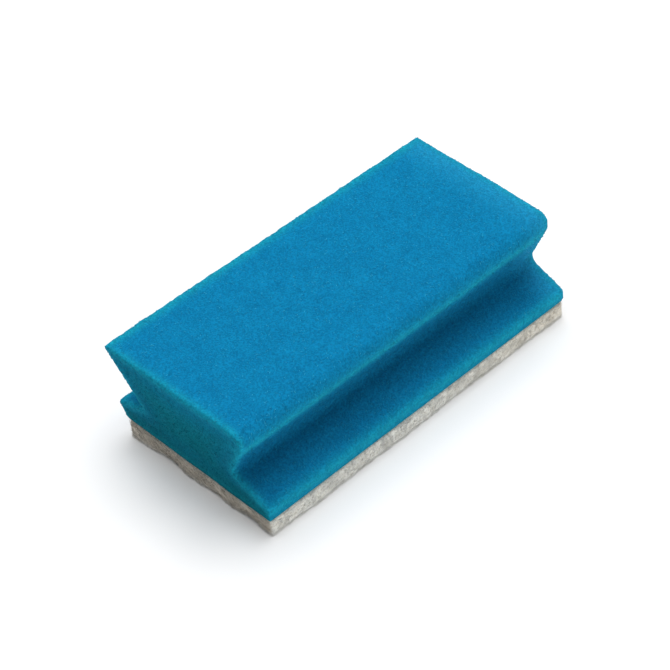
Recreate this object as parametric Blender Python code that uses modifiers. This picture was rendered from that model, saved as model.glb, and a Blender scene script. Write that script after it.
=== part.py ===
"""Scouring sponge with finger grooves: a foam grip block bonded to a scouring pad.

The origin is the middle of the scouring face, which lies on the ground plane.
+X runs along the length, +Y across the width and +Z up through the thickness.
"""
import math

import bpy
from mathutils import Vector

# Driving dimensions, in metres.
BLOCK_LENGTH = 0.150
TOTAL_HEIGHT = 0.044

TOP_WIDTH = 0.0705
WAIST_WIDTH = 0.0456
WAIST_HEIGHT = 0.0211
FLANGE_WIDTH = 0.0755
FLANGE_HEIGHT = 0.0140
BASE_WIDTH = 0.0740

TOP_EDGE_RADIUS = 0.0045
WAIST_RADIUS = 0.0035
FLANGE_EDGE_RADIUS = 0.0015
ARC_STEPS = 6

PAD_THICKNESS = 0.0070
FILM_THICKNESS = 0.0004
FILM_INSET = 0.0010
LAYER_GAP = 0.0003
PAD_EDGE_RADIUS = 0.0006
PAD_EDGE_SEGMENTS = 2

# Heights of the layers, from the ground plane up.
FILM_BOTTOM = PAD_THICKNESS + LAYER_GAP
FOAM_BOTTOM = FILM_BOTTOM + FILM_THICKNESS + LAYER_GAP

# A 2D outline is drawn across the width and up, and its thickness runs along the length.
OUTLINE_STANDS_ACROSS = (math.pi / 2, 0, math.pi / 2)

FOAM_BLUE = (0.010, 0.230, 0.440)
ADHESIVE_AMBER = (0.620, 0.560, 0.400)
FIBRE_GREY = (0.600, 0.620, 0.610)


def clear_scene():
    """Remove whatever the open file holds."""
    for old in list(bpy.data.objects):
        bpy.data.objects.remove(old)


def make_collection(name):
    """Make the collection that holds the parts."""
    collection = bpy.data.collections.new(name)
    bpy.context.scene.collection.children.link(collection)
    return collection


def make_material(name, colour, roughness):
    """Make a plain non-metallic material."""
    material = bpy.data.materials.new(name)
    material.use_nodes = True
    shader = material.node_tree.nodes["Principled BSDF"]
    shader.inputs["Base Color"].default_value = (*colour, 1.0)
    shader.inputs["Roughness"].default_value = roughness
    shader.inputs["Metallic"].default_value = 0.0
    return material


def corner_arc(before, corner, after, radius):
    """Return the points of the arc that rounds one corner of an outline."""
    to_before = (before - corner).normalized()
    to_after = (after - corner).normalized()
    half_angle = to_before.angle(to_after) / 2
    centre = corner + (to_before + to_after).normalized() * (radius / math.sin(half_angle))
    start = corner + to_before * (radius / math.tan(half_angle)) - centre
    turn = start.angle_signed(corner + to_after * (radius / math.tan(half_angle)) - centre)
    points = []
    for step in range(ARC_STEPS + 1):
        angle = -turn * step / ARC_STEPS
        arm = Vector((
            start.x * math.cos(angle) - start.y * math.sin(angle),
            start.x * math.sin(angle) + start.y * math.cos(angle),
        ))
        points.append(centre + arm)
    return points


def grip_outline():
    """Return the section of the foam block: a wide top, a waist and a wide foot."""
    right_side = [
        (BASE_WIDTH / 2, FOAM_BOTTOM, 0),
        (FLANGE_WIDTH / 2, FLANGE_HEIGHT, FLANGE_EDGE_RADIUS),
        (WAIST_WIDTH / 2, WAIST_HEIGHT, WAIST_RADIUS),
        (TOP_WIDTH / 2, TOTAL_HEIGHT, TOP_EDGE_RADIUS),
    ]
    left_side = [(-across, up, radius) for across, up, radius in reversed(right_side)]
    corners = right_side + left_side
    points = []
    for index, (across, up, radius) in enumerate(corners):
        corner = Vector((across, up))
        before = Vector(corners[index - 1][:2])
        after = Vector(corners[(index + 1) % len(corners)][:2])
        points += corner_arc(before, corner, after, radius) if radius else [corner]
    return points


def make_foam_grip_block(collection):
    """Make the foam block with a finger groove along each long side."""
    outline = grip_outline()
    curve = bpy.data.curves.new("foam_grip_block", "CURVE")
    curve.dimensions = "2D"
    curve.fill_mode = "BOTH"
    curve.extrude = BLOCK_LENGTH / 2
    spline = curve.splines.new("POLY")
    spline.points.add(len(outline) - 1)
    for point, place in zip(spline.points, outline):
        point.co = (place.x, place.y, 0, 1)
    spline.use_cyclic_u = True
    curve.materials.append(make_material("blue_foam", FOAM_BLUE, 0.95))
    block = bpy.data.objects.new("foam_grip_block", curve)
    block.rotation_euler = OUTLINE_STANDS_ACROSS
    collection.objects.link(block)
    return block


def make_slab(name, collection, size, bottom, material):
    """Make a flat layer centred on the origin, with its underside at a given height."""
    length, width, thickness = size
    bpy.ops.mesh.primitive_cube_add(size=1, location=(0, 0, bottom + thickness / 2))
    slab = bpy.context.object
    slab.name = name
    slab.data.name = name
    slab.scale = (length, width, thickness)
    bpy.ops.object.transform_apply(location=False, rotation=False, scale=True)
    slab.data.materials.append(material)
    for holder in list(slab.users_collection):
        holder.objects.unlink(slab)
    collection.objects.link(slab)
    return slab


def make_adhesive_film(collection):
    """Make the thin layer of adhesive between the foam and the pad."""
    size = (BLOCK_LENGTH - 2 * FILM_INSET, BASE_WIDTH - 2 * FILM_INSET, FILM_THICKNESS)
    amber = make_material("clear_adhesive", ADHESIVE_AMBER, 0.35)
    return make_slab("adhesive_film", collection, size, FILM_BOTTOM, amber)


def make_scouring_pad(collection):
    """Make the non-woven fibre pad under the foam."""
    grey = make_material("grey_fibre", FIBRE_GREY, 0.90)
    pad = make_slab("scouring_pad", collection, (BLOCK_LENGTH, BASE_WIDTH, PAD_THICKNESS), 0, grey)
    rounding = pad.modifiers.new("trimmed_edges", "BEVEL")
    rounding.width = PAD_EDGE_RADIUS
    rounding.segments = PAD_EDGE_SEGMENTS
    rounding.limit_method = "ANGLE"
    return pad


def main():
    """Build the sponge."""
    clear_scene()
    sponge = make_collection("grip_scouring_sponge")
    make_foam_grip_block(sponge)
    make_adhesive_film(sponge)
    make_scouring_pad(sponge)


main()
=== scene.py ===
"""The looks of a grip scouring sponge: cut open-cell foam over a non-woven fibre pad."""
import math

import bmesh
import bpy
import numpy as np
from mathutils import Matrix, Vector


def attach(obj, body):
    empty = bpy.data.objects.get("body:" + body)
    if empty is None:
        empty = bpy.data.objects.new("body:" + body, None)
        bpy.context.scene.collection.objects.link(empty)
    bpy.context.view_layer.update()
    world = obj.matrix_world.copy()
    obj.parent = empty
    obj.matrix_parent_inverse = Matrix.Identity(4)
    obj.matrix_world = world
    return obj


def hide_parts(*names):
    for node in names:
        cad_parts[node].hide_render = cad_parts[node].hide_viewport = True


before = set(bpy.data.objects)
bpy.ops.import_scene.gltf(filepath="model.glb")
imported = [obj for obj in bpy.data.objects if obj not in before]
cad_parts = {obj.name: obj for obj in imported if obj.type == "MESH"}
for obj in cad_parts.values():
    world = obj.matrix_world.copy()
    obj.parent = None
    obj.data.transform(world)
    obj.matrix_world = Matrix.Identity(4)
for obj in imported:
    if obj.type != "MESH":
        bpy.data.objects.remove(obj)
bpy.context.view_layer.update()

MM = 0.001

# Camera, in the part's frame.
CAMERA_PLACE = (-0.3962, -0.4381, 0.5285)
CAMERA_AZIMUTH = -41.71
CAMERA_ELEVATION = 40.78
CAMERA_ROLL = -5.36
CAMERA_LENS = 119.0
SENSOR_WIDTH = 36.0
CLIP_START = 0.01

# Lights: (name, place in m, size in m, power in W, colour). They look at LIGHT_AIM.
LIGHTS = (
    ("key", (0.32, 0.28, 2.0), 2.4, 51.0, (1.0, 1.0, 1.0)),
    ("front_fill", (0.25, -1.6, 0.30), 0.8, 7.0, (1.0, 0.99, 0.97)),
)
LIGHT_AIM = (0, 0, 0.02)
SKY_COLOUR = (0.95, 0.97, 1.0)
SKY_STRENGTH = 0.30
FLOOR_REACH = 6.0

# The foam block's section, in mm: (across, up, corner radius), from the back of its foot round.
FOAM_BOTTOM = 7.5
FOAM_TOP = 44.1
WAIST_BACK = (23.4, 21.1)
WAIST_FRONT = (-20.8, 20.3)
WAIST_BACK_RADIUS = 2.0
WAIST_FRONT_RADIUS = 3.0
FOAM_SECTION = (
    (36.9, FOAM_BOTTOM, 0.5),
    (39.5, 15.6, 0.8),
    (*WAIST_BACK, WAIST_BACK_RADIUS),
    (38.5, FOAM_TOP, 1.0),
    (-34.5, FOAM_TOP, 5.0),
    (*WAIST_FRONT, WAIST_FRONT_RADIUS),
    (-37.6, 12.6, 1.5),
    (-36.9, FOAM_BOTTOM, 0.5),
)
ARC_STEPS = 6

# The saw cuts at the ends are a little off square: (place at the origin in mm, lean for each mm
# up, lean for each mm across).
NEAR_END = (-73.0, -0.110, 0.028)
FAR_END = (76.1, -0.025, 0.068)
END_EDGE_ROUNDING = 0.9

# The front groove was cut a little lower at the far end: drop in mm, the power of the distance
# along the block that it grows with, and where it is felt.
GROOVE_DROP = 2.2
GROOVE_DROP_GROWTH = 1.5
GROOVE_PLACE = (-27.0, 22.0)
GROOVE_REACH = 9.0

# The far end face is a little full at mid height, in mm.
FAR_BULGE = 0.6
FAR_BULGE_GROWTH = 6
FAR_BULGE_HEIGHT = 24.0
FAR_BULGE_REACH = 9.0

# The pad is a little thicker at the back than at the front: rise of the joint for each mm across.
JOINT_RISE = 0.018
JOINT_FADE_TOP = 13.0

# How uneven the foam's cut faces are: (depth in mm, extra depth at edges, size in mm, seed).
FOAM_UNEVENNESS = (
    (0.30, 0.00, 26.0, 1),
    (0.10, 0.00, 6.0, 2),
    (0.06, 0.07, 1.8, 3),
    (0.08, 0.05, 0.75, 4),
)

# The unevenness starts at the joint and is whole this far above it, in mm.
UNEVENNESS_RISE = 1.5

# How far each painted highlight and painted shade on the foam reaches from where it starts, in mm: a
# painted highlight along the rims and ridges, painted shade in the grooves, a painted glow at the far
# end, and painted shade on the end faces that eases near their upper rim.
RIM_HIGHLIGHT_REACH = 2.3
RIM_HIGHLIGHT_START = FOAM_BOTTOM + 0.5
RIM_HIGHLIGHT_RISE = 3.0
RIDGE_HIGHLIGHT_REACH = 2.0
RIDGE_HIGHLIGHT_BY_RADIUS = 0.45
GROOVE_SHADE_REACH = 16.0
OPEN_GROOVE_SHADE_REACH = 12.0
GLOW_CAST = 9.0
END_SHADE_RIM_REACH = 9.0
END_SHADE_RIM_START = 9.0
END_SHADE_RIM_RISE = 8.0

# Grain of the remeshed pieces, in mm.
FOAM_VOXEL = 0.70
PAD_VOXEL = 0.70

# The scouring pad, in mm.
PAD_TOP = 7.35
PAD_LIFT = 0.25
PAD_HALF_WIDTH = 36.9
PAD_FOOT_ROUNDING = 0.25
PAD_RIM = 3.0
# Hollows trimmed into the foot of the pad's near end: (place across, half width, depth).
PAD_END_DIPS = ((15.5, 7.0, 2.0), (-7.5, 5.0, 1.1), (-25.8, 6.0, 1.8))
DIP_DEPTH = 6.0
DIP_TOP = 5.5
# How uneven the pad's sides and foot are: (depth in mm, size in mm, seed).
PAD_SLOW_WANDER = (0.45, 13.0, 11)
PAD_QUICK_WANDER = (0.30, 4.0, 12)
PAD_LUMPS = ((0.10, 1.6, 13), (0.20, 0.8, 14))
PAD_DENTS = (0.35, 5.0, 15)
PAD_DENT_TOP = 1.5
PAD_LOWEST = 0.02

# The adhesive film, in mm.
FILM_TOP = 7.6
FILM_BOTTOM = 7.25
FILM_MARGIN = 1.1

FILM_ROUGHNESS = (0.05, 4.0, 31)

# The pad's loose fibres, in mm: pairs are the least and the most.
SIDE_FIBRES = 4300
SIDE_FIBRE_SEED = 21
SIDE_FIBRE_LENGTH = (2.0, 5.5)
SIDE_FIBRE_RADIUS = (0.045, 0.085)
SIDE_FIBRE_STAND = (-0.15, 0.25)
SIDE_FIBRE_HUMP = 0.22
SIDE_FIBRE_MARGIN = 0.2
SIDE_FIBRE_LOWEST = 0.15
SIDE_FIBRE_TOP = PAD_TOP - 0.12
FOOT_FIBRE_SHARE = 0.15
FOOT_FIBRE_HUMP = 0.35
FACE_FIBRES = 4300
FACE_FIBRE_SEED = 22
FACE_FIBRE_LENGTH = (4.0, 10.0)
FACE_FIBRE_RADIUS = (0.050, 0.085)
FACE_FIBRE_DEPTH = (0.12, 0.40)
FACE_FIBRE_HUMP = 0.14
FACE_FIBRE_MARGIN = 0.8
FACE_FIBRE_NEAR_MARGIN = 2.4
FIBRE_TONE = (2.2, 1.4)
FIBRE_POINTS = 8
TUBE_SIDES = 3

# The foam's cut struts, in mm: pairs are the least and the most.
FOAM_STRUTS = 14000
STRUT_SEED = 33
STRUT_POINTS = 3
STRUT_HALF_LENGTH = (0.20, 0.45)
STRUT_RISE = (0.06, 0.22)
STRUT_SINK = 0.08
STRUT_RADIUS = 0.050
PALE_STRUT_EXTRA_LENGTH = 0.20
PALE_STRUT_EXTRA_RADIUS = 0.060
STRUT_CLEARANCE = 0.8


# ---------------------------------------------------------------- noise

def lattice_noise(points, cell, seed):
    """Smooth random values from -1 to 1 at points, on a lattice of the given cell size."""
    scaled = points / cell
    low = np.floor(scaled).astype(int)
    part = scaled - low
    part = part * part * (3 - 2 * part)
    low -= low.min(axis=0)
    values = np.random.default_rng(seed).uniform(-1, 1, low.max(axis=0) + 2)
    total = np.zeros(len(points))
    for corner in range(8):
        step = np.array([corner & 1, corner >> 1 & 1, corner >> 2 & 1])
        weight = np.where(step == 1, part, 1 - part).prod(axis=1)
        place = low + step
        total += weight * values[place[:, 0], place[:, 1], place[:, 2]]
    return total


def uneven(points, depth, size, seed):
    """Smooth unevenness from -depth to depth, with features of a size."""
    return depth * lattice_noise(points, size, seed)


def rise(values, start, length):
    """0 up to a start, then rising evenly to 1 over a length."""
    return np.clip((values - start) / length, 0, 1)


def fade(distances, reach, power=2):
    """1 at no distance, falling away smoothly over a reach."""
    return np.exp(-(distances / reach) ** power)


# ---------------------------------------------------------------- mesh helpers

def mesh_points(mesh):
    """A mesh's vertices as an array."""
    points = np.empty(len(mesh.vertices) * 3, np.float32)
    mesh.vertices.foreach_get("co", points)
    return points.reshape(-1, 3).astype(float)


def mesh_normals(mesh):
    """A mesh's vertex normals as an array."""
    normals = np.empty(len(mesh.vertices) * 3, np.float32)
    mesh.vertex_normals.foreach_get("vector", normals)
    return normals.reshape(-1, 3).astype(float)


def set_points(mesh, points):
    """Move a mesh's vertices to the given points."""
    mesh.vertices.foreach_set("co", points.astype(np.float32).ravel())
    mesh.update()


def set_attribute(mesh, name, values):
    """Store one value for each vertex, for the material to read."""
    attribute = mesh.attributes.new(name, "FLOAT", "POINT")
    attribute.data.foreach_set("value", values.astype(np.float32))


def new_piece(name, mesh, material):
    """Link a mesh as a smooth-shaded piece with one material."""
    piece = bpy.data.objects.new(name, mesh)
    bpy.context.scene.collection.objects.link(piece)
    mesh.shade_smooth()
    mesh.materials.clear()
    mesh.materials.append(material)
    return piece


def remeshed(name, mesh, voxel):
    """Return an even, dense copy of a closed mesh."""
    source = bpy.data.objects.new(name + "_source", mesh)
    bpy.context.scene.collection.objects.link(source)
    even = source.modifiers.new("even", "REMESH")
    even.mode = "VOXEL"
    even.voxel_size = voxel
    bpy.context.view_layer.update()
    graph = bpy.context.evaluated_depsgraph_get()
    dense = bpy.data.meshes.new_from_object(source.evaluated_get(graph))
    dense.name = name
    bpy.data.objects.remove(source)
    return dense


def corner_arc(corners, index):
    """Return the points of the arc that rounds one (across, up, radius) corner of an outline."""
    across, up, radius = corners[index]
    corner = np.array((across, up), float)
    before = np.array(corners[index - 1][:2]) - corner
    after = np.array(corners[(index + 1) % len(corners)][:2]) - corner
    before /= np.linalg.norm(before)
    after /= np.linalg.norm(after)
    half_angle = math.acos(float(before @ after)) / 2
    middle = (before + after) / np.linalg.norm(before + after)
    centre = corner + middle * radius / math.sin(half_angle)
    start = corner + before * radius / math.tan(half_angle) - centre
    end = corner + after * radius / math.tan(half_angle) - centre
    turn = math.atan2(start[0] * end[1] - start[1] * end[0], float(start @ end))
    points = []
    for step in range(ARC_STEPS + 1):
        angle = turn * step / ARC_STEPS
        cosine, sine = math.cos(angle), math.sin(angle)
        arm = (start[0] * cosine - start[1] * sine, start[0] * sine + start[1] * cosine)
        points.append(centre + arm)
    return np.array(points)


def rounded_outline(corners):
    """Return an outline's points, with each (across, up, radius) corner drawn as an arc."""
    return np.concatenate([corner_arc(corners, index) for index in range(len(corners))])


def facing_end_share(along):
    """How squarely something faces along the length, from 0 to 1, by its direction's first part."""
    return rise(np.abs(along), 0.5, 0.4)


def end_plane(end, across, up):
    """Where an end's saw cut lies along the length, at a place across and up."""
    place, lean_up, lean_across = end
    return place + lean_up * up + lean_across * across


def raise_joint(points):
    """Tilt everything near the joint between pad and foam a little, so the pad is a slight wedge."""
    height = points[:, 2]
    below = height / FOAM_BOTTOM
    above = (JOINT_FADE_TOP - height) / (JOINT_FADE_TOP - FOAM_BOTTOM)
    points[:, 2] += JOINT_RISE * points[:, 1] * np.clip(np.minimum(below, above), 0, 1)


def outline_distance(points, outline):
    """Distance from each (across, up) point to a closed outline."""
    nearest = np.full(len(points), np.inf)
    for start, stop in zip(outline, np.roll(outline, -1, axis=0)):
        run = stop - start
        share = np.clip((points - start) @ run / max(run @ run, 1e-12), 0, 1)
        nearest = np.minimum(nearest, np.linalg.norm(points - start - share[:, None] * run, axis=1))
    return nearest


# ---------------------------------------------------------------- node helpers

class Nodes:
    """A short way to build one material's nodes."""

    def __init__(self, name):
        self.material = bpy.data.materials.new(name)
        self.material.use_nodes = True
        self.tree = self.material.node_tree
        self.shader = self.tree.nodes["Principled BSDF"]
        self.place = self.add("ShaderNodeTexCoord").outputs["Object"]

    def add(self, kind, **settings):
        """Add a node and set its properties."""
        node = self.tree.nodes.new(kind)
        for key, value in settings.items():
            setattr(node, key, value)
        return node

    def link(self, source, target):
        """Feed a socket from another socket, or set it to a plain value."""
        if isinstance(source, bpy.types.NodeSocket):
            self.tree.links.new(source, target)
        else:
            target.default_value = source

    def noise(self, size, detail=2.0, roughness=0.5, seed=0.0):
        """Noise whose features are about size metres across."""
        node = self.add("ShaderNodeTexNoise", noise_dimensions="4D")
        self.link(self.place, node.inputs["Vector"])
        node.inputs["W"].default_value = seed
        node.inputs["Scale"].default_value = 1 / size
        node.inputs["Detail"].default_value = detail
        node.inputs["Roughness"].default_value = roughness
        return node.outputs["Fac"]

    def cells(self, size):
        """Distance from the middles of cells that are about size metres across."""
        node = self.add("ShaderNodeTexVoronoi", voronoi_dimensions="4D")
        self.link(self.place, node.inputs["Vector"])
        node.inputs["Scale"].default_value = 1 / size
        return node.outputs["Distance"]

    def ramp(self, value, low, high, to_low=0.0, to_high=1.0):
        """Map a value from one range to another, clamped."""
        node = self.add("ShaderNodeMapRange")
        self.link(value, node.inputs["Value"])
        limits = {"From Min": low, "From Max": high, "To Min": to_low, "To Max": to_high}
        for key, number in limits.items():
            node.inputs[key].default_value = number
        return node.outputs["Result"]

    def times(self, first, second):
        """Multiply two values."""
        node = self.add("ShaderNodeMath", operation="MULTIPLY")
        self.link(first, node.inputs[0])
        self.link(second, node.inputs[1])
        return node.outputs[0]

    def mix(self, share, first, second):
        """Mix two colours."""
        node = self.add("ShaderNodeMix", data_type="RGBA")
        self.link(share, node.inputs["Factor"])
        for socket, colour in ((node.inputs[6], first), (node.inputs[7], second)):
            self.link(colour if isinstance(colour, bpy.types.NodeSocket) else (*colour, 1), socket)
        return node.outputs[2]

    def scale(self, colour, factor):
        """Make a colour lighter or darker by a factor."""
        node = self.add("ShaderNodeVectorMath", operation="SCALE")
        self.link(colour, node.inputs[0])
        self.link(factor, node.inputs["Scale"])
        return node.outputs[0]

    def axis(self, name):
        """Place along one axis of the frame."""
        node = self.add("ShaderNodeSeparateXYZ")
        self.link(self.place, node.inputs[0])
        return node.outputs[name]

    def attribute(self, name, strength=1.0):
        """The value stored in the mesh under a name, times a strength."""
        return self.times(self.add("ShaderNodeAttribute", attribute_name=name).outputs["Fac"], strength)

    def bump(self, height, distance, strength, under=None):
        """Bumps distance metres deep where a value is high, over other bumps if they are given."""
        node = self.add("ShaderNodeBump")
        self.link(height, node.inputs["Height"])
        node.inputs["Distance"].default_value = distance
        node.inputs["Strength"].default_value = strength
        if under is not None:
            self.link(under, node.inputs["Normal"])
        return node.outputs["Normal"]

    def surface(self, colour, roughness, normal, others):
        """Wire up the shader's colour, roughness and normal, and set its other inputs by name."""
        self.link(colour, self.shader.inputs["Base Color"])
        self.link(roughness, self.shader.inputs["Roughness"])
        self.link(normal, self.shader.inputs["Normal"])
        for name, value in others.items():
            self.shader.inputs[name].default_value = value
        return self.material


# ---------------------------------------------------------------- materials

FOAM_BLUE = (0.0035, 0.176, 0.352)
FOAM_DEEP = (0.0030, 0.158, 0.325)
# Painted highlight along the edges: lighter and greener.
FOAM_EDGE_HIGHLIGHT = (0.008, 0.262, 0.368)
# Painted highlight: the paler blue of the struts' glints and of the far end's glow.
FOAM_GLINT = (0.045, 0.450, 0.680)
# Painted shade on the end faces, lighter higher up.
FOAM_END_SHADE = (0.0012, 0.106, 0.136)
FOAM_END_SHADE_HIGH = (0.0016, 0.146, 0.205)
# Painted shade in the finger grooves.
FOAM_GROOVE_SHADE = (0.0030, 0.092, 0.190)
FOAM_CELL = 0.62 * MM


def foam_material():
    """Matte blue open-cell foam: fine cut pores with painted shade in them and a painted highlight on
    the cell walls, painted shade in the grooves and on the end faces, a painted glow at the far end and
    a lighter, greener painted highlight along the edges.
    """
    nodes = Nodes("foam")
    cloudy = nodes.noise(9 * MM, detail=3)
    colour = nodes.mix(nodes.ramp(cloudy, 0.35, 0.65), FOAM_BLUE, FOAM_DEEP)
    # Painted shade in the finger grooves.
    colour = nodes.mix(nodes.attribute("groove_shade", 0.6), colour, FOAM_GROOVE_SHADE)
    # Painted glow: paler towards the far end.
    colour = nodes.mix(nodes.attribute("glow", 0.2), colour, FOAM_GLINT)
    # Painted shade on the end faces, lighter higher up.
    high = nodes.ramp(nodes.axis("Z"), 12 * MM, 34 * MM)
    colour = nodes.mix(nodes.attribute("end_shade"), colour, nodes.mix(high, FOAM_END_SHADE, FOAM_END_SHADE_HIGH))
    # Painted highlight along the edges, patchy in strength.
    patchy = nodes.ramp(nodes.noise(2.5 * MM, seed=3), 0.30, 0.70, 0.60, 1.0)
    colour = nodes.mix(nodes.attribute("edge", patchy), colour, FOAM_EDGE_HIGHLIGHT)
    cell = nodes.cells(FOAM_CELL)
    # Painted shade in the pores and a painted highlight on the cell walls.
    pore_shade = nodes.ramp(cell, 0.10, 0.45, 0.82, 1.0)
    strut = nodes.ramp(cell, 0.50, 0.80, 1.0, 1.26)
    clump = nodes.ramp(nodes.noise(1.6 * MM, detail=1, seed=12), 0.55, 0.78, 1.0, 0.84)
    blot = nodes.ramp(nodes.noise(5 * MM, seed=8), 0.66, 0.76, 1.0, 0.84)
    # Darker in a thin band just above the joint with the pad.
    above_joint = nodes.ramp(nodes.axis("Z"), (FOAM_BOTTOM + 0.3) * MM, (FOAM_BOTTOM + 1.3) * MM)
    joint_line_darkening = nodes.ramp(above_joint, 0.0, 1.0, 0.76, 1.0)
    for factor in (pore_shade, strut, clump, blot, joint_line_darkening):
        colour = nodes.scale(colour, factor)
    coarse = nodes.bump(nodes.noise(1.3 * MM, seed=2), 0.25 * MM, 0.6)
    nodes.shader.subsurface_method = "RANDOM_WALK"
    return nodes.surface(
        colour,
        nodes.ramp(cell, 0.1, 0.7, 0.97, 0.82),
        nodes.bump(cell, 0.18 * MM, 0.7, coarse),
        {"Specular IOR Level": 0.015, "Sheen Weight": 0.02, "Sheen Roughness": 0.6,
         "Sheen Tint": (0.15, 0.70, 0.95, 1), "Subsurface Weight": 0.35,
         "Subsurface Radius": (0.3, 1.0, 1.2), "Subsurface Scale": 1.2 * MM})


def strut_material():
    """The cut ends of the foam's struts: the same blue, with a painted glint on a random few, and the
    foam's painted shade and painted edge highlight carried over.
    """
    nodes = Nodes("foam_strut")
    # Painted glint, stronger on struts of higher tone.
    colour = nodes.mix(nodes.attribute("tone"), FOAM_BLUE, FOAM_GLINT)
    # Painted shade in the finger grooves.
    colour = nodes.mix(nodes.attribute("groove_shade", 0.6), colour, FOAM_GROOVE_SHADE)
    # Painted shade on the end faces.
    colour = nodes.mix(nodes.attribute("end_shade", 0.9), colour, FOAM_END_SHADE)
    # Painted highlight along the edges.
    colour = nodes.mix(nodes.attribute("edge", 0.6), colour, FOAM_EDGE_HIGHLIGHT)
    grain = nodes.noise(0.3 * MM)
    colour = nodes.mix(nodes.ramp(grain, 0.5, 0.7, 0.0, 0.3), colour, FOAM_DEEP)
    roughness = nodes.ramp(grain, 0.3, 0.7, 0.55, 0.75)
    normal = nodes.bump(grain, 0.03 * MM, 0.4)
    return nodes.surface(colour, roughness, normal, {"Specular IOR Level": 0.02})


PAD_PALE = (0.93, 0.93, 0.87)
PAD_GREY = (0.74, 0.74, 0.68)
# Painted shade in the mat's gaps and on the fibres over them.
PAD_SHADE = (0.36, 0.34, 0.30)
# Painted shade on the pad's end faces.
PAD_END_SHADE = (0.51, 0.45, 0.365)
# Painted light at the pad's foot.
PAD_FOOT_PAINTED_LIGHT = (0.95, 0.95, 0.91)
# Tan towards the far end.
PAD_FAR_TAN = (0.78, 0.67, 0.51)
PAD_CREAM = (0.78, 0.72, 0.60)
FIBRE_DULL = (0.78, 0.78, 0.75)
FIBRE_BRIGHT = (0.96, 0.97, 0.94)
FILM_AMBER = (0.62, 0.56, 0.40)
FILM_SOAKED = (0.42, 0.42, 0.33)
FLOOR_PALE = (0.93, 0.93, 0.93)
FLOOR_DULL = (0.91, 0.91, 0.91)


def pad_far_tan_and_painted_light(nodes, colour):
    """The pad's slow changes of colour: tan towards the far end, painted shade under the foam and a pale
    painted light at its foot.
    """
    # Tan towards the far end.
    colour = nodes.mix(nodes.ramp(nodes.axis("X"), 5 * MM, 75 * MM, 0.0, 0.40), colour, PAD_FAR_TAN)
    # Painted shade at the pad's top, under the foam.
    colour = nodes.scale(colour, nodes.ramp(nodes.axis("Z"), 5.2 * MM, 7.2 * MM, 1.0, 0.82))
    # Painted light at the foot, paler near the floor.
    return nodes.mix(nodes.ramp(nodes.axis("Z"), 0.2 * MM, 2.2 * MM, 0.6, 0.0), colour, PAD_FOOT_PAINTED_LIGHT)


def pad_material():
    """The fibre mat behind the loose fibres: pale grey with painted shade in its gaps and a cream cast
    in places.
    """
    nodes = Nodes("scouring_fibre_mat")
    grain = nodes.noise(0.5 * MM, detail=3, roughness=0.65)
    colour = nodes.mix(nodes.ramp(grain, 0.38, 0.60), PAD_GREY, PAD_PALE)
    # Painted shade in the mat's gaps.
    gaps = nodes.ramp(nodes.noise(0.8 * MM, detail=2, seed=4), 0.54, 0.34, 0.0, 0.65)
    colour = nodes.mix(gaps, colour, PAD_SHADE)
    cream = nodes.ramp(nodes.noise(14 * MM, seed=6), 0.45, 0.70, 0.0, 0.30)
    colour = nodes.mix(cream, colour, PAD_CREAM)
    # Painted shade on the end faces.
    colour = nodes.mix(nodes.attribute("end_shade", 0.8), colour, PAD_END_SHADE)
    colour = pad_far_tan_and_painted_light(nodes, colour)
    return nodes.surface(
        colour,
        nodes.ramp(grain, 0.3, 0.7, 0.95, 0.75),
        nodes.bump(grain, 0.4 * MM, 0.9),
        {"Specular IOR Level": 0.25, "Subsurface Weight": 0.2,
         "Subsurface Radius": (1.0, 1.0, 0.9), "Subsurface Scale": 0.6 * MM})


def fibre_material():
    """The loose fibres: pale nylon, each its own grey, with painted shade in patches over the mat's
    gaps.
    """
    nodes = Nodes("scouring_fibre")
    colour = nodes.mix(nodes.attribute("tone"), FIBRE_DULL, FIBRE_BRIGHT)
    # Painted shade on the end faces.
    colour = nodes.mix(nodes.attribute("end_shade", 0.8), colour, PAD_END_SHADE)
    # Painted shade in the same patches as the mat's gaps.
    gap_shade = nodes.ramp(nodes.noise(0.8 * MM, detail=2, seed=4), 0.54, 0.34, 0.0, 0.60)
    colour = nodes.mix(gap_shade, colour, PAD_SHADE)
    colour = pad_far_tan_and_painted_light(nodes, colour)
    roughness = nodes.ramp(nodes.noise(0.5 * MM), 0.3, 0.7, 0.35, 0.65)
    normal = nodes.bump(nodes.noise(0.3 * MM), 0.05 * MM, 0.5)
    return nodes.surface(colour, roughness, normal, {"Specular IOR Level": 0.4})


def film_material():
    """Clear amber hot-melt adhesive, uneven where it soaked into the foam."""
    nodes = Nodes("adhesive")
    soak = nodes.noise(2.0 * MM, detail=3)
    colour = nodes.mix(nodes.ramp(soak, 0.35, 0.65), FILM_AMBER, FILM_SOAKED)
    roughness = nodes.ramp(soak, 0.3, 0.7, 0.25, 0.55)
    return nodes.surface(colour, roughness, nodes.bump(soak, 0.15 * MM, 0.7), {})


def floor_material():
    """A plain pale floor."""
    nodes = Nodes("floor")
    nodes.link(nodes.mix(nodes.noise(0.4), FLOOR_DULL, FLOOR_PALE), nodes.shader.inputs["Base Color"])
    nodes.shader.inputs["Roughness"].default_value = 0.9
    nodes.shader.inputs["Specular IOR Level"].default_value = 0.1
    return nodes.material


# ---------------------------------------------------------------- pieces

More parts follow.
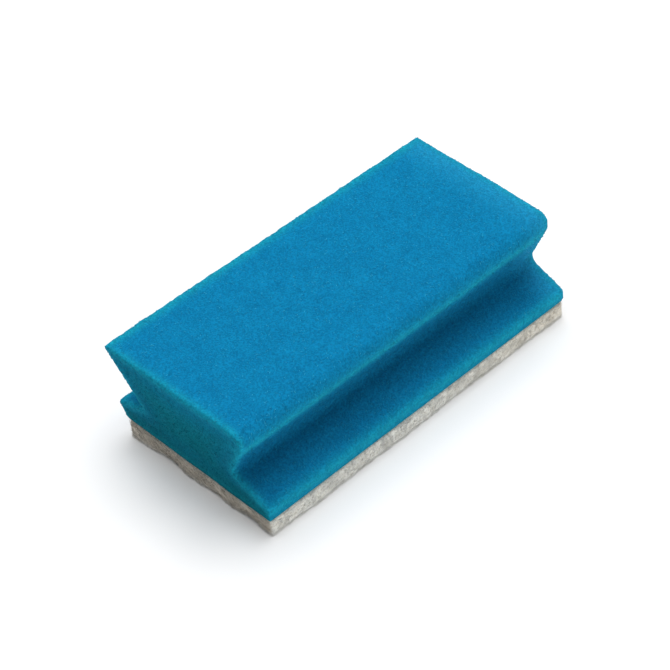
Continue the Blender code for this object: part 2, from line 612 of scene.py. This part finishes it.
def foam_cage(outline):
    """Return the block's plain shape as a mesh, with its end edges bevelled."""
    shape = bmesh.new()
    rings = []
    for end in (NEAR_END, FAR_END):
        ring = [shape.verts.new((end_plane(end, y, z) * MM, y * MM, z * MM)) for y, z in outline]
        rings.append(ring)
    caps = [shape.faces.new(ring) for ring in rings]
    count = len(outline)
    for index in range(count):
        following = (index + 1) % count
        shape.faces.new((rings[0][index], rings[0][following], rings[1][following], rings[1][index]))
    bmesh.ops.recalc_face_normals(shape, faces=shape.faces)
    rims = [edge for cap in caps for edge in cap.edges]
    bmesh.ops.bevel(shape, geom=rims, offset=END_EDGE_ROUNDING * MM, segments=3, profile=0.5,
                    affect="EDGES", clamp_overlap=True)
    mesh = bpy.data.meshes.new("foam_cage")
    shape.to_mesh(mesh)
    shape.free()
    return mesh


def rim_distance(points, outline):
    """How far each point is from the rim of the nearer end face."""
    near = np.abs(points[:, 0] - end_plane(NEAR_END, points[:, 1], points[:, 2]))
    far = np.abs(points[:, 0] - end_plane(FAR_END, points[:, 1], points[:, 2]))
    return np.hypot(np.minimum(near, far), outline_distance(points[:, 1:], outline))


def far_share(points, reach):
    """How near each point is to the far end, from 0 to 1 at the end itself."""
    return fade(points[:, 0] - end_plane(FAR_END, points[:, 1], points[:, 2]), reach)


def edge_share(points, outline):
    """How near each point is to a cut edge of the block, from 0 to 1 at the edge itself. It places the
    painted highlight along the edges and the extra raggedness there.
    """
    share = fade(rim_distance(points, outline), RIM_HIGHLIGHT_REACH)
    share *= rise(points[:, 2], RIM_HIGHLIGHT_START, RIM_HIGHLIGHT_RISE)
    for index, (_, _, radius) in enumerate(FOAM_SECTION):
        if radius in (WAIST_BACK_RADIUS, WAIST_FRONT_RADIUS):
            continue
        arc = corner_arc(FOAM_SECTION, index)
        just_past = 2 * arc[-1] - arc[-2]
        to_ridge = np.linalg.norm(points[:, 1:] - just_past, axis=1)
        reach = RIDGE_HIGHLIGHT_REACH + RIDGE_HIGHLIGHT_BY_RADIUS * radius
        share = np.maximum(share, fade(to_ridge, reach))
    return share


def section_distance(points, place):
    """How far each point is from a place in the section."""
    return np.hypot(points[:, 1] - place[0], points[:, 2] - place[1])


def groove_drop(points):
    """How far each point drops, because the front groove sinks towards the far end."""
    along = rise(points[:, 0], 0, FAR_END[0]) ** GROOVE_DROP_GROWTH
    return GROOVE_DROP * along * fade(section_distance(points, GROOVE_PLACE), GROOVE_REACH)


def groove_shade_share(points):
    """How much painted shade each point gets in either finger groove, from 0 to 1 at the waist, and less
    towards the far end.
    """
    nearest = np.minimum(section_distance(points, WAIST_FRONT), section_distance(points, WAIST_BACK))
    open_end = 1 - 0.9 * far_share(points, OPEN_GROOVE_SHADE_REACH)
    return open_end * fade(nearest, GROOVE_SHADE_REACH, 4)


def far_bulge(points):
    """How far each point moves outwards where the far end face is full."""
    along = rise(points[:, 0], 0, FAR_END[0]) ** FAR_BULGE_GROWTH
    return FAR_BULGE * along * fade(points[:, 2] - FAR_BULGE_HEIGHT, FAR_BULGE_REACH)


def end_shade_share(points, normals, outline):
    """How much painted shade each point gets on the end faces; the painted shade eases near their upper
    rim.
    """
    high = rise(points[:, 2], END_SHADE_RIM_START, END_SHADE_RIM_RISE)
    near_rim = high * fade(rim_distance(points, outline), END_SHADE_RIM_REACH)
    return facing_end_share(normals[:, 0]) * (1 - 0.5 * near_rim)


def make_foam():
    """The foam block: cut faces that are a little uneven, over soft, slightly ragged edges."""
    outline = rounded_outline(FOAM_SECTION)
    mesh = remeshed("foam", foam_cage(outline), FOAM_VOXEL * MM)
    points = mesh_points(mesh) / MM
    normals = mesh_normals(mesh)
    edge = edge_share(points, outline)
    # Where the painted highlight along the edges lies.
    set_attribute(mesh, "edge", edge)
    # Where the painted shade on the end faces lies.
    set_attribute(mesh, "end_shade", end_shade_share(points, normals, outline))
    # Where the painted shade in the finger grooves lies.
    set_attribute(mesh, "groove_shade", groove_shade_share(points))
    # Where the painted glow at the far end lies.
    set_attribute(mesh, "glow", far_share(points, GLOW_CAST))
    drop = groove_drop(points)
    bulge = far_bulge(points)
    push = sum(uneven(points, depth + extra * edge, size, seed)
               for depth, extra, size, seed in FOAM_UNEVENNESS)
    push *= np.maximum(rise(points[:, 2], FOAM_BOTTOM, UNEVENNESS_RISE), 0.05)
    points += normals * push[:, None]
    points[:, 2] -= drop
    points[:, 0] += bulge
    raise_joint(points)
    set_points(mesh, points * MM)
    return new_piece("foam_block_skin", mesh, foam_material())


def pad_outline():
    """The pad's outline from above, with its corners rounded."""
    corners = []
    for end, across, radius in ((NEAR_END, -PAD_HALF_WIDTH, 0.8), (FAR_END, -PAD_HALF_WIDTH, 1.5),
                                (FAR_END, PAD_HALF_WIDTH, 1.5), (NEAR_END, PAD_HALF_WIDTH, 2.4)):
        corners.append((end_plane(end, across, PAD_TOP), across, radius))
    return rounded_outline(corners)


def pad_outline_place(along):
    """Places on the pad's outline and the ways out, from distances walked round it in mm.

    The length of the whole outline is returned too.
    """
    outline = pad_outline()
    closed = np.vstack([outline, outline[:1]])
    walked = np.concatenate([[0], np.cumsum(np.linalg.norm(np.diff(closed, axis=0), axis=1))])

    def place(distance):
        wrapped = np.mod(distance, walked[-1])
        return np.stack([np.interp(wrapped, walked, closed[:, axis]) for axis in (0, 1)], axis=1)

    ahead = place(along + 0.3) - place(along - 0.3)
    ahead /= np.linalg.norm(ahead, axis=1, keepdims=True)
    ways = np.stack([ahead[:, 1], -ahead[:, 0]], axis=1)
    return place(along), ways, walked[-1]


def pad_trim(points):
    """How far the hollows trimmed into the near end's foot move each point inwards."""
    from_end = points[:, 0] - end_plane(NEAR_END, points[:, 1], PAD_TOP)
    near_foot = fade(from_end, DIP_DEPTH) * (1 - rise(points[:, 2], 0, DIP_TOP))
    return near_foot * sum(dip * fade(points[:, 1] - place, width) for place, width, dip in PAD_END_DIPS)


def slow_wander(points):
    """How far the pad's trimmed sides wander in and out over some centimetres, in mm."""
    return uneven(points * (1, 1, 0.3), *PAD_SLOW_WANDER)


def free_share(points):
    """How freely the pad's sides wander at each point: least at the joint with the foam."""
    return 0.4 + 0.6 * (1 - points[:, 2] / PAD_TOP)


def pad_slab(outline):
    """The pad's plain slab, remeshed: its points in mm, its normals and its mesh."""
    shape = bmesh.new()
    lower = [shape.verts.new((x * MM, y * MM, PAD_LIFT * MM)) for x, y in outline]
    upper = [shape.verts.new((x * MM, y * MM, PAD_TOP * MM)) for x, y in outline]
    foot = shape.faces.new(lower)
    shape.faces.new(upper)
    for index in range(len(outline)):
        following = (index + 1) % len(outline)
        shape.faces.new((lower[index], lower[following], upper[following], upper[index]))
    bmesh.ops.recalc_face_normals(shape, faces=shape.faces)
    bmesh.ops.bevel(shape, geom=list(foot.edges), offset=PAD_FOOT_ROUNDING * MM, segments=2,
                    profile=0.5, affect="EDGES", clamp_overlap=True)
    cage = bpy.data.meshes.new("pad_cage")
    shape.to_mesh(cage)
    shape.free()
    mesh = remeshed("pad", cage, PAD_VOXEL * MM)
    return mesh_points(mesh) / MM, mesh_normals(mesh), mesh


def make_pad():
    """The pad's mat: a lumpy slab whose trimmed sides wander and whose underside is dented."""
    outline = pad_outline()
    points, normals, mesh = pad_slab(outline)
    sideways = normals.copy()
    sideways[:, 2] = 0
    wander = (slow_wander(points) + uneven(points, *PAD_QUICK_WANDER)) * free_share(points)
    lumps = sum(uneven(points, *lump) for lump in PAD_LUMPS)
    trim = pad_trim(points)
    points += sideways * (wander + lumps)[:, None]
    points[:, 0] += trim
    dents = (PAD_DENTS[0] + uneven(points, *PAD_DENTS)) / 2
    inside = rise(outline_distance(points[:, :2], outline), 0, PAD_RIM)
    foot_share = 1 - rise(points[:, 2], 0, PAD_DENT_TOP)
    points[:, 2] += foot_share * (dents * inside - PAD_LIFT * (1 - inside))
    points[:, 2] = np.clip(points[:, 2], PAD_LOWEST, PAD_TOP)
    raise_joint(points)
    set_points(mesh, points * MM)
    # Where the painted shade on the pad's end faces lies.
    set_attribute(mesh, "end_shade", facing_end_share(normals[:, 0]))
    return new_piece("scouring_pad_mat", mesh, pad_material())


def tube_mesh(name, paths, radii, tones):
    """Thin three-sided closed tubes along many paths at once: paths is (tubes, points, 3), in mm."""
    count, steps, _ = paths.shape
    ahead = np.gradient(paths, axis=1)
    ahead /= np.linalg.norm(ahead, axis=2, keepdims=True)
    helper = np.where(np.abs(ahead[..., 2:]) > 0.9, (1.0, 0.0, 0.0), (0.0, 0.0, 1.0))
    side = np.cross(ahead, helper)
    side /= np.linalg.norm(side, axis=2, keepdims=True)
    other = np.cross(ahead, side)
    taper = np.sin(np.linspace(0.12, math.pi - 0.12, steps)) ** 0.35
    around = np.arange(TUBE_SIDES) * 2 * math.pi / TUBE_SIDES
    ring = side[:, :, None] * np.cos(around)[:, None] + other[:, :, None] * np.sin(around)[:, None]
    points = paths[:, :, None] + ring * (radii[:, None] * taper)[:, :, None, None]
    per_tube = steps * TUBE_SIDES
    faces = []
    for step in range(steps - 1):
        for spoke in range(TUBE_SIDES):
            following = (spoke + 1) % TUBE_SIDES
            here = step * TUBE_SIDES
            there = here + TUBE_SIDES
            faces.append((here + spoke, here + following, there + following, there + spoke))
    first_points = (np.arange(count) * per_tube)[:, None, None]
    quads = np.array(faces) + first_points
    last = (steps - 1) * TUBE_SIDES
    caps = np.array([(2, 1, 0), (last, last + 1, last + 2)]) + first_points
    corners = np.concatenate([quads.reshape(-1), caps.reshape(-1)])
    sizes = np.concatenate([np.full(quads.size // 4, 4), np.full(caps.size // 3, 3)])
    starts = np.concatenate([[0], np.cumsum(sizes)[:-1]])
    mesh = bpy.data.meshes.new(name)
    mesh.vertices.add(count * per_tube)
    mesh.loops.add(len(corners))
    mesh.polygons.add(len(sizes))
    mesh.vertices.foreach_set("co", (points.reshape(-1, 3) * MM).astype(np.float32).ravel())
    mesh.loops.foreach_set("vertex_index", corners.astype(np.int32))
    mesh.polygons.foreach_set("loop_start", starts.astype(np.int32))
    mesh.update(calc_edges=True)
    mesh.validate()
    set_attribute(mesh, "tone", np.repeat(tones, per_tube))
    return mesh


def curl(random, count, length):
    """Plane paths of curly fibres, as (count, points, 2), that start at the origin."""
    heading = random.uniform(0, 2 * math.pi, (count, 1))
    bend = random.normal(0, 0.42, (count, 1)) + random.normal(0, 0.25, (count, FIBRE_POINTS - 1))
    headings = heading + np.cumsum(bend, axis=1)
    step = length[:, None] / (FIBRE_POINTS - 1)
    moves = np.stack([np.cos(headings) * step, np.sin(headings) * step], axis=2)
    return np.concatenate([np.zeros((count, 1, 2)), np.cumsum(moves, axis=1)], axis=1)


def make_side_fibres():
    """Curly fibres on the pad's four trimmed sides, lying along them and standing a little proud."""
    random = np.random.default_rng(SIDE_FIBRE_SEED)
    count = SIDE_FIBRES
    flat = curl(random, count, random.uniform(*SIDE_FIBRE_LENGTH, count))
    _, _, around = pad_outline_place(np.zeros(1))
    along = random.uniform(0, around, (count, 1)) + flat[..., 0]
    at_foot = random.uniform(0, 1, (count, 1)) < FOOT_FIBRE_SHARE
    height = random.uniform(SIDE_FIBRE_MARGIN, PAD_TOP - SIDE_FIBRE_MARGIN, (count, 1)) + flat[..., 1]
    height = np.where(at_foot, 0.1 * height, height)
    height = np.abs(height - SIDE_FIBRE_LOWEST) + SIDE_FIBRE_LOWEST
    height = SIDE_FIBRE_TOP - np.abs(SIDE_FIBRE_TOP - height)
    places, ways, _ = pad_outline_place(along.ravel())
    stand = random.uniform(*SIDE_FIBRE_STAND, (count, 1))
    waves = np.linspace(0, math.pi, FIBRE_POINTS) * random.uniform(0.5, 2.0, (count, 1))
    stand = stand + np.where(at_foot, FOOT_FIBRE_HUMP, SIDE_FIBRE_HUMP) * np.sin(waves)
    flat_points = np.concatenate([places, height.reshape(-1, 1)], axis=1)
    wander = slow_wander(flat_points) * free_share(flat_points)
    trim = pad_trim(flat_points)
    flat_points[:, :2] += ways * (wander + stand.ravel())[:, None]
    flat_points[:, 0] += trim
    raise_joint(flat_points)
    paths = flat_points.reshape(count, FIBRE_POINTS, 3)
    radii = random.uniform(*SIDE_FIBRE_RADIUS, count)
    tones = random.beta(*FIBRE_TONE, count)
    mesh = tube_mesh("edge_fibres", paths, radii, tones)
    # Where the painted shade on the fibres at the pad's ends lies.
    set_attribute(mesh, "end_shade", np.repeat(facing_end_share(ways[:, 0]), TUBE_SIDES))
    return new_piece("scouring_pad_edge_fibres", mesh, fibre_material())


def make_face_fibres():
    """Curly fibres laid in all directions over the pad's underside, which is the scouring face."""
    random = np.random.default_rng(FACE_FIBRE_SEED)
    count = FACE_FIBRES
    half_length = 74.0
    half_width = PAD_HALF_WIDTH - FACE_FIBRE_MARGIN
    flat = curl(random, count, random.uniform(*FACE_FIBRE_LENGTH, count))
    middle = random.uniform(-1, 1, (count, 1, 2)) * (half_length, half_width)
    spots = middle + flat - flat.mean(axis=1, keepdims=True)
    across = np.clip(spots[..., 1], -half_width, half_width)
    near = end_plane(NEAR_END, across, PAD_TOP) + FACE_FIBRE_NEAR_MARGIN
    far = end_plane(FAR_END, across, PAD_TOP) - FACE_FIBRE_MARGIN
    along = np.clip(spots[..., 0], near, far)
    depth = random.uniform(*FACE_FIBRE_DEPTH, (count, 1))
    waves = np.linspace(0, math.pi, FIBRE_POINTS) * random.uniform(0.5, 2.5, (count, 1))
    depth = depth + FACE_FIBRE_HUMP * np.abs(np.sin(waves))
    paths = np.stack([along, across, depth], axis=2)
    radii = random.uniform(*FACE_FIBRE_RADIUS, count)
    tones = random.beta(*FIBRE_TONE, count)
    mesh = tube_mesh("face_fibres", paths, radii, tones)
    return new_piece("scouring_pad_face_fibres", mesh, fibre_material())


def make_foam_struts(foam_mesh):
    """The foam's cut struts: tiny arched threads on its open faces, which fuzz its outline."""
    random = np.random.default_rng(STRUT_SEED)
    points = mesh_points(foam_mesh) / MM
    normals = mesh_normals(foam_mesh)
    open_faces = np.flatnonzero(points[:, 2] > FOAM_BOTTOM + STRUT_CLEARANCE)
    picked = random.choice(open_faces, FOAM_STRUTS, replace=False)
    roots, up = points[picked], normals[picked]
    ahead = np.cross(up, random.normal(0, 1, (FOAM_STRUTS, 3)))
    ahead /= np.linalg.norm(ahead, axis=1, keepdims=True)
    # Tone sets each strut's painted glint: the higher it is, the paler the strut and the longer and
    # thicker it grows.
    tones = random.uniform(0, 1, FOAM_STRUTS) ** 2
    reach = random.uniform(*STRUT_HALF_LENGTH, FOAM_STRUTS) + PALE_STRUT_EXTRA_LENGTH * tones
    half = ahead * reach[:, None]
    crown = roots + up * random.uniform(*STRUT_RISE, (FOAM_STRUTS, 1))
    sunk = roots - up * STRUT_SINK
    paths = np.stack([sunk - half, crown, sunk + half], axis=1)
    radii = STRUT_RADIUS + PALE_STRUT_EXTRA_RADIUS * tones
    mesh = tube_mesh("struts", paths, radii, tones)
    # The struts carry the foam's painted edge highlight and painted shade.
    for name in ("edge", "end_shade", "groove_shade"):
        values = np.empty(len(points), np.float32)
        foam_mesh.attributes[name].data.foreach_get("value", values)
        set_attribute(mesh, name, np.repeat(values[picked], STRUT_POINTS * TUBE_SIDES))
    return new_piece("foam_cut_struts", mesh, strut_material())


def make_film():
    """The adhesive film: a thin uneven sheet that stops short of the edges."""
    shape = bmesh.new()
    bmesh.ops.create_grid(shape, x_segments=74, y_segments=36, size=0.5)
    sheet = bmesh.ops.extrude_face_region(shape, geom=list(shape.faces))
    for vert in (item for item in sheet["geom"] if isinstance(item, bmesh.types.BMVert)):
        vert.co.z = 1
    bmesh.ops.recalc_face_normals(shape, faces=shape.faces)
    mesh = bpy.data.meshes.new("film")
    shape.to_mesh(mesh)
    shape.free()
    points = mesh_points(mesh)
    across = points[:, 1] * 2 * (PAD_HALF_WIDTH - FILM_MARGIN)
    near = end_plane(NEAR_END, across, PAD_TOP) + FILM_MARGIN
    far = end_plane(FAR_END, across, PAD_TOP) - FILM_MARGIN
    along = near + (far - near) * (points[:, 0] + 0.5)
    spots = np.stack([along, across, np.zeros(len(points))], axis=1)
    rough = uneven(spots, *FILM_ROUGHNESS)
    up = np.where(points[:, 2] > 0.5, FILM_TOP + rough, FILM_BOTTOM + rough)
    points = np.stack([along, across, up], axis=1)
    raise_joint(points)
    set_points(mesh, points * MM)
    return new_piece("adhesive_film_skin", mesh, film_material())


# ---------------------------------------------------------------- stage

def add_camera():
    """The camera, aimed by its azimuth, elevation and roll."""
    azimuth, elevation = math.radians(CAMERA_AZIMUTH), math.radians(CAMERA_ELEVATION)
    back = Vector((math.sin(azimuth) * math.cos(elevation),
                   -math.cos(azimuth) * math.cos(elevation), math.sin(elevation)))
    turn = back.to_track_quat("Z", "Y").to_matrix() @ Matrix.Rotation(math.radians(CAMERA_ROLL), 3, "Z")
    data = bpy.data.cameras.new("camera")
    data.sensor_width = SENSOR_WIDTH
    data.lens = CAMERA_LENS
    data.clip_start = CLIP_START
    camera = bpy.data.objects.new("camera", data)
    camera.matrix_world = Matrix.Translation(CAMERA_PLACE) @ turn.to_4x4()
    bpy.context.scene.collection.objects.link(camera)
    bpy.context.scene.camera = camera


def add_area_light(name, place, size, power, colour):
    """A round soft light that looks at the middle of the sponge."""
    data = bpy.data.lights.new(name, "AREA")
    data.shape = "DISK"
    data.size = size
    data.energy = power
    data.color = colour
    light = bpy.data.objects.new(name, data)
    light.location = place
    aim = Vector(LIGHT_AIM) - Vector(place)
    light.rotation_euler = aim.to_track_quat("-Z", "Y").to_euler()
    light.visible_camera = False
    bpy.context.scene.collection.objects.link(light)


def add_floor():
    """A plain pale floor."""
    corners = [(x * FLOOR_REACH, y * FLOOR_REACH, 0) for x, y in ((-1, -1), (1, -1), (1, 1), (-1, 1))]
    mesh = bpy.data.meshes.new("floor")
    mesh.from_pydata(corners, [], [(0, 1, 2, 3)])
    mesh.materials.append(floor_material())
    floor = bpy.data.objects.new("floor", mesh)
    bpy.context.scene.collection.objects.link(floor)


def add_studio_light():
    """One broad soft light overhead, a faint one in front and an even pale sky."""
    for light in LIGHTS:
        add_area_light(*light)
    world = bpy.data.worlds.new("studio")
    world.use_nodes = True
    sky = world.node_tree.nodes["Background"]
    sky.inputs["Color"].default_value = (*SKY_COLOUR, 1)
    sky.inputs["Strength"].default_value = SKY_STRENGTH
    bpy.context.scene.world = world
    bpy.context.scene.view_settings.view_transform = "Standard"


add_camera()
foam = make_foam()
mat = make_pad()
side_fibres = make_side_fibres()
face_fibres = make_face_fibres()
struts = make_foam_struts(foam.data)
film = make_film()
for piece, node, slot in ((foam, "foam_grip_block", "foam"),
                          (struts, "foam_grip_block", "foam"),
                          (mat, "scouring_pad", "scouring_fibre"),
                          (side_fibres, "scouring_pad", "scouring_fibre"),
                          (face_fibres, "scouring_pad", "scouring_fibre"),
                          (film, "adhesive_film", "adhesive")):
    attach(piece, "root")
    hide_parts(node)
add_floor()
add_studio_light()
